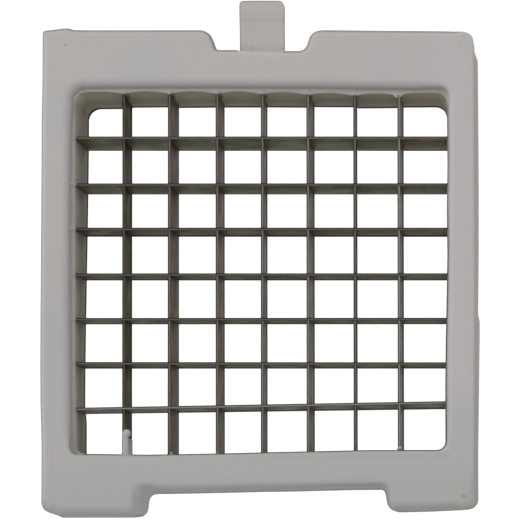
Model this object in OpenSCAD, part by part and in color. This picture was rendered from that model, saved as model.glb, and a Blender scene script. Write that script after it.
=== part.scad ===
// Blade-grid insert of a french fry cutter.
// A light-grey moulded frame stands on two feet and holds a crossed grid of
// fourteen thin steel strips. A sprung tongue at the top snaps the insert
// into the body of the cutter.
//
// +Z is up, the cutting side faces -Y, millimetres. The origin is the centre
// of the bounding box's bottom face, on the plane of the left foot's sole. The
// right foot is a little shorter.

/* [Frame] */
// Width of the frame over its side rail
body_w = 85.5; // [84.8:0.1:88]
// Height of the top edge over the right foot's sole
body_h = 94.2; // [93.6:0.1:97]
// Depth of the frame, front face to rear rim
body_t = 19; // [18.6:0.1:22]
// Thickness of the front skin
skin_t = 2.4; // [2:0.1:2.6]
// Thickness of the outer skirt wall
skirt_t = 2; // [1.6:0.1:2.2]
// Thickness of the wall around the window
sleeve_t = 2.2; // [1.8:0.1:2.4]
// Radius of the front edges
edge_r = 1.2; // [0.6:0.1:1.4]
// Radius of the right-hand outer corners
corner_r = 2; // [1.6:0.1:2.4]
// How far the side rail stands out from the front layer
rail_out = 1; // [0.6:0.1:1.2]
// Depth behind the front face at which the side rail starts
rail_start = 7; // [5:0.5:9]

/* [Window] */
// Width of the window between its side walls
win_w = 72.4; // [71.8:0.1:72.8]
// Height of the window's lower wall over the right foot's sole
win_z0 = 11.7; // [11.4:0.1:12]
// Height of the window's upper wall over the right foot's sole
win_z1 = 82; // [81.6:0.1:82.6]
// Radius of the window's two upper corners
win_r = 2; // [1.2:0.1:3]
// Radius of the window's lower corner on the rail's side
win_r_right = 1.4; // [0.8:0.1:2.4]
// Radius of the window's lower corner on the plain side
win_r_left = 0.4; // [0.3:0.1:2]
// Width of the ledge around the blades
ledge = 0.5; // [0.3:0.1:0.8]
// Width of the ledge over the blades
ledge_top = 1.1; // [0.5:0.1:1.4]
// Depth of the recess in front of the blades
recess_d = 2.8; // [2.6:0.1:3.4]

/* [Feet and notch] */
// Height of the gap between the feet over the right foot's sole
gap_h = 4.3; // [4.2:0.1:5]
// How far the left foot reaches below the right one
foot_drop = 0.75; // [0.5:0.05:1]
// Depth of the notch under the tongue
notch_d = 4.1; // [3:0.1:4.4]

/* [Blades] */
// Thickness of the steel strip
blade_t = 0.5; // [0.4:0.05:0.6]
// Depth of the steel strip, front edge to rear edge
blade_d = 14; // [12:0.5:14]
// Pitch of the upright blades
pitch_x = 9; // [8.9:0.05:9.05]
// Pitch of the level blades
pitch_z = 8.7; // [8.6:0.05:8.75]
// Number of blades each way
blade_n = 7; // [7]
// Gap on each side of a strip in a crossing slot
slot_gap = 0.05; // [0.03:0.01:0.1]
// How far a blade end reaches into the rib behind the window wall
anchor = 1; // [0.6:0.1:1.2]

/* [Latch tongue] */
// Width of the tongue
tongue_w = 8.75; // [8:0.05:9.5]
// Thickness of the tongue
tongue_t = 1.8; // [1.5:0.1:2]
// Height of the tongue's top over the right foot's sole
tongue_top = 100.95; // [99:0.05:102]
// How far the bead stands forward of the tongue
bead_out = 1.85; // [1.2:0.05:2]
// Radius of the tongue's round root
root_r = 1.2; // [1.1:0.05:1.25]
// Running clearance around the root
root_gap = 0.05; // [0.03:0.01:0.1]

/* [Hidden] */
$fn = 48;

plastic = [0.68, 0.67, 0.66];
tongue_grey = [0.66, 0.65, 0.63];
steel = [0.42, 0.42, 0.40];
steel_dark = [0.34, 0.34, 0.32];

xl = -body_w / 2;
xr = body_w / 2;
xf = xr - rail_out;                 // right side of the front layer
yf = -body_t / 2;                   // front face
yr = body_t / 2;                    // rear rim
zn = body_h - notch_d;              // floor of the notch

grid_x = 0.3;                       // middle upright blade
grid_z = 46.6;                      // middle level blade
blade_y0 = yf + recess_d;           // front cutting edges
blade_y1 = blade_y0 + blade_d;      // rear edges
blade_ym = (blade_y0 + blade_y1) / 2;
upright_x = [for (i = [0 : blade_n - 1]) grid_x + (i - (blade_n - 1) / 2) * pitch_x];
level_z = [for (i = [0 : blade_n - 1]) grid_z - (i - (blade_n - 1) / 2) * pitch_z];
up_z0 = win_z0 - sleeve_t - anchor; // lower end of an upright blade
up_z1 = win_z1 + sleeve_t + anchor; // upper end of an upright blade
lv_x = win_w / 2 + sleeve_t + anchor;
socket_gap = 0.02;

tongue_x = 0.325;                   // middle of the tongue
tongue_y = yf + 6.9;                // middle of its thickness
root_z = zn - 1.8;                  // axis of the root
tongue_z0 = zn + 0.5;               // shoulder over the notch floor

// Points on an arc, from angle a0 to a1
function arc(cx, cz, r, a0, a1, n = 6) =
    [for (i = [0 : n]) [cx + r * cos(a0 + (a1 - a0) * i / n), cz + r * sin(a0 + (a1 - a0) * i / n)]];

// Outer outline, drawn in by e. side is the right-hand face; with rail on it
// steps out below the shoulder near the top.
function outline(e, side, rail) = concat(
    [[xl + e, 2.0], [xl + 0.8 + 0.8 * e, 0.8 + 0.6 * e], [xl + 3.1 + 0.5 * e, -0.1 + 0.8 * e], [xl + 4.6 + 0.3 * e, e - foot_drop]],
    arc(-25.1, 1.9 - foot_drop, 1.9 - e, -90, 0),
    arc(-21.7, gap_h - 1.4, 1.4 + e, 180, 90),
    arc(22.6, gap_h - 2, 2 + e, 90, 20),
    arc(27.2, 2.6, 2.6 - e, 200, 270),
    arc(side - corner_r, corner_r, corner_r - e, -90, 0),
    rail ? [[side - e, body_h - 6], [side - rail_out - e, body_h - 4.1]] : [],
    arc((rail ? side - rail_out : side) - corner_r, body_h - corner_r, corner_r - e, 0, 90),
    arc(11.6, body_h - 1.7, 1.7 - e, 90, 165),
    arc(7.65, zn + 1.8, 1.8 + e, -15, -90),
    [[-8.2, zn - e], [-8.2 - 0.9 * e, zn + 0.2 - 0.4 * e]],
    arc(-11.1, body_h - 1.7, 1.7 - e, 15, 90),
    [[xl + 6, body_h - e], [xl + 5, body_h + 0.3 - e], [xl + 3.8, body_h + 0.45 - e],
     [xl + 2.4, body_h + 0.4 - e], [xl + 0.5 + e, body_h + 0.05 - e], [xl + e, body_h - 0.4 - e]]);

// Window outline, grown by g; ht is the extra height of its upper ledge
function window(g, ht = 0) = concat(
    arc(-win_w / 2 + win_r_left, win_z0 + win_r_left, win_r_left + g, 180, 270),
    arc(win_w / 2 - win_r_right, win_z0 + win_r_right, win_r_right + g, 270, 360),
    arc(win_w / 2 - win_r, win_z1 + ht - win_r, win_r + g, 0, 90),
    arc(-win_w / 2 + win_r, win_z1 + ht - win_r, win_r + g, 90, 180));

// How far a rounded edge of radius r is drawn in at depth t
function drawn_in(r, t) = r - sqrt(max(0, r * r - (r - t) * (r - t)));

// A flat outline in X and Z, made solid from y0 to y1
module slab(y0, y1) {
    translate([0, y1, 0]) rotate([90, 0, 0]) linear_extrude(y1 - y0) children();
}

// Front layer with its rounded edges, outside and around the window
module frame_skin() {
    steps = [0, 0.1, 0.3, 0.6, 1];
    for (k = [0 : 3]) {
        e = drawn_in(edge_r, edge_r * (steps[k] + steps[k + 1]) / 2);
        slab(yf + edge_r * steps[k], yf + edge_r * steps[k + 1]) difference() {
            polygon(outline(e, xf, false));
            polygon(window(ledge + e, ledge_top - ledge));
        }
    }
    slab(yf + edge_r, blade_y0) difference() {
        polygon(outline(0, xf, false));
        polygon(window(ledge, ledge_top - ledge));
    }
}

// Body behind the front layer, still solid
module frame_core() {
    slab(blade_y0, yf + rail_start) difference() {
        polygon(outline(0, xf, false));
        polygon(window(0));
    }
    slab(yf + rail_start, yr) difference() {
        polygon(outline(0, xr, true));
        polygon(window(0));
    }
}

cx0 = xl + skirt_t;                       // channel, left skirt
cx1 = xr - skirt_t - 0.2;                 // channel, right skirt
sx = win_w / 2 + sleeve_t;                // outside of the sleeve, each side
sz0 = win_z0 - sleeve_t;
sz1 = win_z1 + sleeve_t;

// Open channel seen from behind, between the skirt and the sleeve
module channel_plan() {
    difference() {
        union() {
            translate([cx0, gap_h + skirt_t]) square([cx1 - cx0, body_h - skirt_t - gap_h - skirt_t]);
            translate([cx0, skirt_t + 0.2]) square([-25.1 - cx0, 12]);
            translate([26.4, skirt_t + 0.2]) square([cx1 - 26.4, 12]);
        }
        translate([-sx, sz0]) square([2 * sx, sz1 - sz0]);
        translate([-11.4, zn - skirt_t]) square([24, 20]);
    }
}

// Ribs that tie the sleeve to the skirt and hold the blade ends
module ribs() {
    rib_t = 1.8;
    y0 = yf + skin_t - 0.5;
    y1 = yr - 1.5;
    for (x = upright_x) {
        translate([x - rib_t / 2, y0, sz1 - 0.5]) cube([rib_t, y1 - y0, (abs(x) < 12 ? zn : body_h) - skirt_t + 0.5 - sz1 + 0.5]);
        translate([x - rib_t / 2, y0, gap_h + skirt_t - 0.5]) cube([rib_t, y1 - y0, sz0 + 1 - gap_h - skirt_t]);
    }
    for (z = level_z) {
        translate([cx0 - 0.5, y0, z - rib_t / 2]) cube([-sx - cx0 + 1, y1 - y0, rib_t]);
        translate([sx - 0.5, y0, z - rib_t / 2]) cube([cx1 - sx + 1, y1 - y0, rib_t]);
    }
}

// Block under the notch that carries the tongue's root
module root_block() {
    translate([tongue_x - 6.5, tongue_y - 3.9, sz1 - 0.5]) cube([13, 7.5, zn - sz1 - 0.5]);
}

module root_groove() {
    l = tongue_w + 0.4;
    translate([tongue_x - l / 2, tongue_y, root_z]) rotate([0, 90, 0]) cylinder(r = root_r + root_gap, h = l);
    translate([tongue_x - l / 2, tongue_y - 0.85, root_z]) cube([l, 1.7, 5]);
}

module sockets() {
    g = socket_gap;
    for (x = upright_x)
        translate([x - blade_t / 2 - g, blade_y0 - g, up_z0 - 0.05]) cube([blade_t + 2 * g, blade_d + 2 * g, up_z1 - up_z0 + 0.1]);
    for (z = level_z)
        translate([-lv_x - 0.05, blade_y0 - g, z - blade_t / 2 - g]) cube([2 * lv_x + 0.1, blade_d + 2 * g, blade_t + 2 * g]);
}

module frame_moulding() {
    color(plastic) difference() {
        union() {
            frame_skin();
            difference() {
                frame_core();
                slab(yf + skin_t, yr + 1) channel_plan();
            }
            ribs();
            root_block();
        }
        sockets();
        root_groove();
    }
}

// Side view of the tongue: y forward of its middle, z as its height
module tongue_profile() {
    b = tongue_t / 2;
    zt = tongue_top;
    polygon([[b, tongue_z0], [b, zt - 1.1], [b - 0.3, zt - 0.45], [b - 0.9, zt - 0.1], [b - 1.9, zt],
             [-b - bead_out + 0.75, zt - 0.25], [-b - bead_out + 0.15, zt - 0.85], [-b - bead_out, zt - 1.55],
             [-b - bead_out + 0.25, zt - 2.15], [-b - 0.9, zt - 2.75], [-b - 0.3, zt - 3.55],
             [-b - 0.05, zt - 4.35], [-b, zt - 5.15], [-b, tongue_z0]]);
    translate([-0.5, root_z]) square([1, tongue_z0 - root_z + 0.2]);
}

module latch_tongue() {
    r = 0.9;
    color(tongue_grey) union() {
        intersection() {
            translate([tongue_x - tongue_w / 2, tongue_y, 0]) rotate([90, 0, 90]) linear_extrude(tongue_w) tongue_profile();
            slab(yf - 1, yr) polygon(concat(
                [[tongue_x - tongue_w / 2, root_z - 1], [tongue_x + tongue_w / 2, root_z - 1]],
                arc(tongue_x + tongue_w / 2 - r, tongue_top - r, r, 0, 90),
                arc(tongue_x - tongue_w / 2 + r, tongue_top - r, r, 90, 180)));
        }
        translate([tongue_x - tongue_w / 2, tongue_y, root_z]) rotate([0, 90, 0]) cylinder(r = root_r, h = tongue_w);
    }
}

// Upright strip: slots cut from its front edge take the level strips
module upright_blade(i) {
    w = blade_t + 2 * slot_gap;
    color(steel) difference() {
        translate([upright_x[i] - blade_t / 2, blade_y0, up_z0]) cube([blade_t, blade_d, up_z1 - up_z0]);
        for (z = level_z)
            translate([upright_x[i] - 1, blade_y0 - 1, z - w / 2]) cube([2, blade_d / 2 + 1 + slot_gap, w]);
    }
}

// Level strip: slots cut from its rear edge
module level_blade(i) {
    w = blade_t + 2 * slot_gap;
    color(steel_dark) difference() {
        translate([-lv_x, blade_y0, level_z[i] - blade_t / 2]) cube([2 * lv_x, blade_d, blade_t]);
        for (x = upright_x)
            translate([x - w / 2, blade_ym - slot_gap, level_z[i] - 1]) cube([w, blade_d / 2 + 1 + slot_gap, 2]);
    }
}

// Heights in this file are counted from the right foot's sole. The part stands
// on the left foot's.
module up() {
    translate([0, 0, foot_drop]) children();
}

up() frame_moulding();
up() latch_tongue();
up() upright_blade(0);  // upright_blade_1
up() upright_blade(1);  // upright_blade_2
up() upright_blade(2);  // upright_blade_3
up() upright_blade(3);  // upright_blade_4
up() upright_blade(4);  // upright_blade_5
up() upright_blade(5);  // upright_blade_6
up() upright_blade(6);  // upright_blade_7
up() level_blade(0);  // level_blade_1
up() level_blade(1);  // level_blade_2
up() level_blade(2);  // level_blade_3
up() level_blade(3);  // level_blade_4
up() level_blade(4);  // level_blade_5
up() level_blade(5);  // level_blade_6
up() level_blade(6);  // level_blade_7
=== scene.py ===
import math

import bpy
import numpy as np
from mathutils import Matrix, Vector


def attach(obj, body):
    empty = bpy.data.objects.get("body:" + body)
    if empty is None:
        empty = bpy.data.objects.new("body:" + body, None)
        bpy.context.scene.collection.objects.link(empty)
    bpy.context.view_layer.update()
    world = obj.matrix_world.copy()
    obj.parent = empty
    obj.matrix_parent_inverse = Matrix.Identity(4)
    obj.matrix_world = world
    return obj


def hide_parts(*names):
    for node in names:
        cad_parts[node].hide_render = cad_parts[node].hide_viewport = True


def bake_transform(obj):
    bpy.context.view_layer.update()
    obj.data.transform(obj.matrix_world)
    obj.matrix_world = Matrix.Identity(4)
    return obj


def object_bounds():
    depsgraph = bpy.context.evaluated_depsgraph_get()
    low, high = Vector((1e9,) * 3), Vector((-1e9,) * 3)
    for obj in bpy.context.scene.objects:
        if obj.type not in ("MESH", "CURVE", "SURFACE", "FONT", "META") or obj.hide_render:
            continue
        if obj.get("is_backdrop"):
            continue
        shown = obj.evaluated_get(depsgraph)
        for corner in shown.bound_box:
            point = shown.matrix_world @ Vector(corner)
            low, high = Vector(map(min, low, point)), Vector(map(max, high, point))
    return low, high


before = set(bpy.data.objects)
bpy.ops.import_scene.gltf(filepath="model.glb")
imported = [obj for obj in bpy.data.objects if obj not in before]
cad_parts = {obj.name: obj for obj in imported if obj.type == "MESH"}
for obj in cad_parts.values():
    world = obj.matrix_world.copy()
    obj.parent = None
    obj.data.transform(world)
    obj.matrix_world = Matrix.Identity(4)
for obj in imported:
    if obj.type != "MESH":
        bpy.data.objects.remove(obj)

CAD_LO, CAD_HI = (tuple(v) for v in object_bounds())
MM = 0.001

# ---------------------------------------------------------------- sizes, in mm
XL, XR, XF = -42.75, 42.75, 41.75         # left side, right side, front layer's right side
YF, YR = -9.5, 9.5                       # front face, rear rim
TOP, NOTCH, GAP = 94.2, 90.1, 4.3        # heights are counted from the right foot's sole
DROP = 0.75                              # the left foot reaches this far below it
WX, WZ0, WZ1, WR = 36.2, 11.7, 82.0, 3.0
LEDGE_Y = -6.7
EDGE0, EDGE1 = -6.7, 7.3                 # front and rear edges of the strips
PX = [0.3 + 9.0 * (i - 3) for i in range(7)]
PZ = [46.6 - 8.7 * (i - 3) for i in range(7)]
# Where each strip really runs: at its front edge, at its rear edge
VX0 = [-26.72, -17.80, -8.42, 0.42, 9.32, 18.47, 27.04]
VX1 = [-26.68, -17.26, -8.11, 0.44, 9.87, 18.39, 27.62]
HZ0 = [73.34, 64.12, 55.43, 46.50, 37.80, 29.18, 20.96]
HZ1 = [72.48, 63.73, 55.24, 46.51, 37.75, 28.91, 20.35]
VTILT = [-0.03, 0.0, 0.0, 0.05, 0.07, 0.09, 0.13]
HTILT = [-0.0085, -0.0073, -0.0069, -0.0056, -0.0043, -0.0048, 0.0147]
HTILT1 = [-0.0085, -0.0073, -0.0069, -0.0056, -0.0043, -0.0035, 0.0107]


# ------------------------------------------------------------- distance fields
def sstep(a, b, t):
    u = np.clip((t - a) / (b - a), 0.0, 1.0)
    return u * u * (3 - 2 * u)


def join(a, b, r):
    """Union with a concave fillet of radius r."""
    return np.maximum(r, np.minimum(a, b)) - np.hypot(np.maximum(r - a, 0), np.maximum(r - b, 0))


def meet(a, b, r):
    """Intersection with a convex rounding of radius r."""
    return np.minimum(-r, np.maximum(a, b)) + np.hypot(np.maximum(r + a, 0), np.maximum(r + b, 0))


def box2(x, z, x0, x1, z0, z1, r=0.0):
    qx = np.abs(x - (x0 + x1) / 2) - (x1 - x0) / 2 + r
    qz = np.abs(z - (z0 + z1) / 2) - (z1 - z0) / 2 + r
    return np.hypot(np.maximum(qx, 0), np.maximum(qz, 0)) + np.minimum(np.maximum(qx, qz), 0) - r


def frame2(x, z, x0, x1, z0, z1, corners):
    """Box with its own radius at each corner: lower left, lower right, upper
    left, upper right."""
    bl, br, tl, tr = corners
    left, low = x < (x0 + x1) / 2, z < (z0 + z1) / 2
    return box2(x, z, x0, x1, z0, z1, np.where(low, np.where(left, bl, br), np.where(left, tl, tr)))


def box3(x, y, z, lo, hi, r=0.0):
    q = [np.abs(v - (a + b) / 2) - (b - a) / 2 + r for v, a, b in zip((x, y, z), lo, hi)]
    out = np.sqrt(sum(np.maximum(v, 0) ** 2 for v in q))
    return out + np.minimum(np.maximum(np.maximum(q[0], q[1]), q[2]), 0) - r


def ball(x, y, z, c, r):
    return np.sqrt((x - c[0]) ** 2 + (y - c[1]) ** 2 + (z - c[2]) ** 2) - r


def rod(x, y, z, a, b, ra, rb):
    """Capsule from a to b whose radius goes from ra to rb."""
    a, b = np.array(a, float), np.array(b, float)
    d = b - a
    t = np.clip(((x - a[0]) * d[0] + (y - a[1]) * d[1] + (z - a[2]) * d[2]) / (d @ d), 0, 1)
    return np.sqrt((x - a[0] - d[0] * t) ** 2 + (y - a[1] - d[1] * t) ** 2 + (z - a[2] - d[2] * t) ** 2) - (ra + (rb - ra) * t)


def poly_sdf(poly, x, z):
    """Signed distance to a closed outline, negative inside."""
    x, z = np.broadcast_arrays(np.asarray(x, np.float64), np.asarray(z, np.float64))
    d = np.full(x.shape, 1e12)
    inside = np.zeros(x.shape, bool)
    n = len(poly)
    for i in range(n):
        ax, az = poly[i]
        bx, bz = poly[(i + 1) % n]
        ex, ez = bx - ax, bz - az
        wx, wz = x - ax, z - az
        t = np.clip((wx * ex + wz * ez) / max(ex * ex + ez * ez, 1e-12), 0, 1)
        d = np.minimum(d, (wx - ex * t) ** 2 + (wz - ez * t) ** 2)
        up = (az <= z) != (bz <= z)
        side = (ex * wz - ez * wx) * (1 if bz > az else -1)
        inside ^= up & (side > 0)
    return np.where(inside, -1.0, 1.0) * np.sqrt(d)


def arc(cx, cz, r, a0, a1, n=8):
    t = [math.radians(a0 + (a1 - a0) * i / n) for i in range(n + 1)]
    return [(cx + r * math.cos(a), cz + r * math.sin(a)) for a in t]


def chaikin(poly, times):
    p = np.array(poly, float)
    for _ in range(times):
        q = np.roll(p, -1, axis=0)
        p = np.stack([p * 0.75 + q * 0.25, p * 0.25 + q * 0.75], 1).reshape(-1, 2)
    return [tuple(v) for v in p]


def outline(side, rail):
    """Outline of the frame in X and Z."""
    p = [(XL, 2.3), (XL + 0.06, 1.8), (XL + 0.24, 1.4), (XL + 0.45, 1.02), (XL + 0.84, 0.65), (XL + 1.27, 0.38), (XL + 2.0, 0.08), (XL + 2.8, -0.31), (XL + 3.2, -0.56), (XL + 3.55, -DROP)]
    p += arc(-25.22, 1.85 - DROP, 1.85, -90, -5)
    p += arc(-21.15, GAP - 2.05, 2.05, 180, 90)
    p += arc(23.3, GAP - 0.95, 0.95, 90, 10)
    p += arc(27.17, 2.7, 2.7, 195, 270)
    p += arc(side - 2, 2, 2, -90, 0)
    if rail:
        p += [(side - 0.12, 37.6), (side - 0.3, 38.6), (side - 0.33, 39.5), (side - 0.33, TOP - 5.6), (side - 0.45, TOP - 4.8), (side - 0.8, TOP - 3.85), (side - 1.0, TOP - 3.0)]
        side -= 1.0
    p += [(side, TOP - 2.2), (side - 0.04, TOP - 1.85), (side - 0.2, TOP - 1.3), (side - 0.55, TOP - 0.8), (side - 0.95, TOP - 0.52), (side - 1.35, TOP - 0.36),
          (side - 1.75, TOP - 0.24), (side - 2.5, TOP - 0.14), (side - 3.4, TOP - 0.09), (side - 5.0, TOP - 0.04), (side - 7.0, TOP)]
    p += [(12.4, TOP), (11.56, TOP - 0.12), (11.16, TOP - 0.22), (10.7, TOP - 0.45), (10.25, TOP - 0.84), (9.97, TOP - 1.23), (9.83, TOP - 1.62), (9.7, TOP - 2.03),
          (9.56, TOP - 2.42), (9.42, TOP - 2.81), (9.26, TOP - 3.2), (8.97, NOTCH + 0.5), (8.42, NOTCH + 0.12), (7.9, NOTCH)]
    p += [(-7.95, NOTCH), (-8.25, NOTCH + 0.1), (-8.42, NOTCH + 0.38), (-8.52, NOTCH + 0.75), (-8.65, NOTCH + 1.13), (-8.8, NOTCH + 1.53), (-8.95, NOTCH + 1.94), (-9.1, NOTCH + 2.36),
          (-9.29, NOTCH + 2.77), (-9.53, NOTCH + 3.18), (-10.06, TOP - 0.5), (-10.45, TOP - 0.29), (-10.85, TOP - 0.1), (-11.4, TOP)]
    p += [(-35.5, TOP), (-36.33, TOP), (-36.72, TOP + 0.07), (-37.12, TOP + 0.22), (-37.5, TOP + 0.29), (-37.9, TOP + 0.32), (-38.4, TOP + 0.29), (-39.1, TOP + 0.24),
          (-40.67, TOP + 0.06), (-41.46, TOP - 0.03), (XL + 0.35, TOP - 0.12), (XL + 0.15, TOP - 0.22), (XL + 0.04, TOP - 0.42), (XL, TOP - 0.7)]
    return p


OUT1, OUT2 = outline(XF, False), outline(XR, True)
CX0, CX1 = XL + 2.0, XR - 2.2
SX, SZ0, SZ1 = WX + 2.2, WZ0 - 2.2, WZ1 + 2.2


def nearest(v, places):
    """Signed distance along one axis to the nearest of these places."""
    out = None
    for p in places:
        d = np.abs(v - p)
        out = d if out is None else np.minimum(out, d)
    return out


def top_edge(x, y):
    """How far the window's upper wall stands off its nominal height: arched from
    strip to strip at the ledge, flat and lower at the rear."""
    u = nearest(x, VX0)
    arch = 0.40 - 0.46 * np.exp(-((u / 1.5) ** 1.0)) - 0.05 * np.cos(x * 0.7)
    dip = 0.75 * np.maximum(0, 1 - np.abs(x - VX0[6]) / 1.05)
    near = 1 - sstep(-6.7, -1.5, y)
    sag = np.interp(x, (-34, -25, -18, -8, 0, 6, 12, 20, 24, 30, 34), (0.2, 0.26, 0.2, 0.1, -0.05, -0.18, -0.39, -0.58, -0.57, -0.47, -0.5)) * near
    rear = sstep(-5.5, 9.5, y)
    return (arch - dip) * near + (per_cell(x, (-0.12, 0.13, 0.0, 0.0, 0.03, 0.15, -0.09, 0.0)) - 0.72 - 0.35 * sstep(-10, 22, x)) * rear - 0.1 * sstep(20, 36, x) * near + sag


def per_cell(x, values):
    """A value for each column between the upright strips."""
    xs, vs = [-40.0], [values[0]]
    for v, a, b in zip(VX0, values, values[1:]):
        xs += [v - 0.5, v + 0.5]
        vs += [a, b]
    return np.interp(x, xs + [40.0], vs + [values[-1]])


def right_bar(x, z):
    """The window's right side leans: outwards at its top, inwards at its foot."""
    return np.interp(z, (14, 19, 26, 33.8, 42.6, 51.4, 60.3, 68.9, 80), (-0.31, -0.30, -0.26, -0.13, 0.11, 0.31, 0.23, 0.43, 0.38)) * sstep(28, 36, x)


def outer_shift(x, z, rail):
    if rail:
        ux = np.interp(z, (0, 6, 12.4, 22, 31.7, 34, 37.3, 38.6, 41.5, 51, 61, 71), (-0.49, -0.48, -0.42, -0.19, 0.02, 0.08, 0.12, 0.03, 0.08, 0.23, 0.31, 0.33))
    else:
        ux = np.interp(z, (8, 14, 35, 60, 80), (-0.36, -0.35, -0.15, 0.0, 0.05))
    ux = ux * sstep(28, 36, x) + (0.05 * sstep(50, 65, z) + 0.27 * sstep(24, 12, z) + 0.13 * sstep(77, 86, z) - 0.07 * sstep(22, 30, z) * sstep(48, 38, z)) * sstep(-36, -41, x)
    uz = np.interp(x, (-37, -35.5, -33, -25, -12.5, 12, 24, 36), (0.52, 0.46, 0.41, 0.33, 0.21, -0.05, -0.30, -0.52)) * sstep(84, 92.5, z)
    notch = sstep(-12, -9.5, x) * sstep(12.5, 10, x) * sstep(85, 89, z) * sstep(93.4, 91.6, z)
    uz = uz * (1 - notch) + (np.interp(x, (-5, 3), (0.35, 0.0)) - 0.18 * sstep(-4.4, -3.7, x) * sstep(5.1, 4.4, x)) * notch
    uz = uz + np.interp(x, (-22, -18, -8, 0, 6, 12, 18, 24), (-0.42, -0.37, -0.19, 0.0, 0.06, 0.21, 0.34, 0.39)) * sstep(-24.5, -21, x) * sstep(28, 24.5, x) * sstep(1.5, 4.0, z) * sstep(9, 6, z)
    uz = uz + np.interp(x, (24.5, 26, 33, 37.6, 40, 42), (0.0, 0.27, 0.43, 0.64, 0.76, 0.80)) * sstep(6, 2, z)
    return ux, uz


def window_coords(x, z):
    raised = np.interp(x, (-36, -32, -22, -13.5, -6, 3, 12, 21, 30), (0.0, -0.02, -0.19, -0.06, 0.06, 0.27, 0.44, 0.61, 0.62)) * sstep(26, 14, z)
    return x - right_bar(x, z), z - raised


def window_hole(x, y, z):
    x, z = window_coords(x, z)
    zz = z - top_edge(x, y) * sstep(55, 77, z)
    rear = sstep(-6.0, 9.5, y)
    left = (0.17 + 0.62 * sstep(20, 79, z) + 0.33 * sstep(22, 17.5, z)) * rear * sstep(-20, -34, x)
    left = left + np.interp(z, (14.7, 18.6, 23.7, 32, 55, 72), (0.36, 0.27, 0.1, 0.02, -0.06, -0.08)) * sstep(3.0, -4.0, y) * sstep(-20, -34, x)
    # a fine lip round the left and upper rear edge
    lip = 0.16 * sstep(2.0, 7.6, y) * sstep(8.75, 8.15, y)
    return frame2(x - left, zz, -WX - lip, WX, WZ0, WZ1 + lip, (1.6 - 1.45 * sstep(-6.7, -3, y), 1.7, 2.0 + 0.45 * rear, 1.9 + 0.3 * rear))


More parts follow.
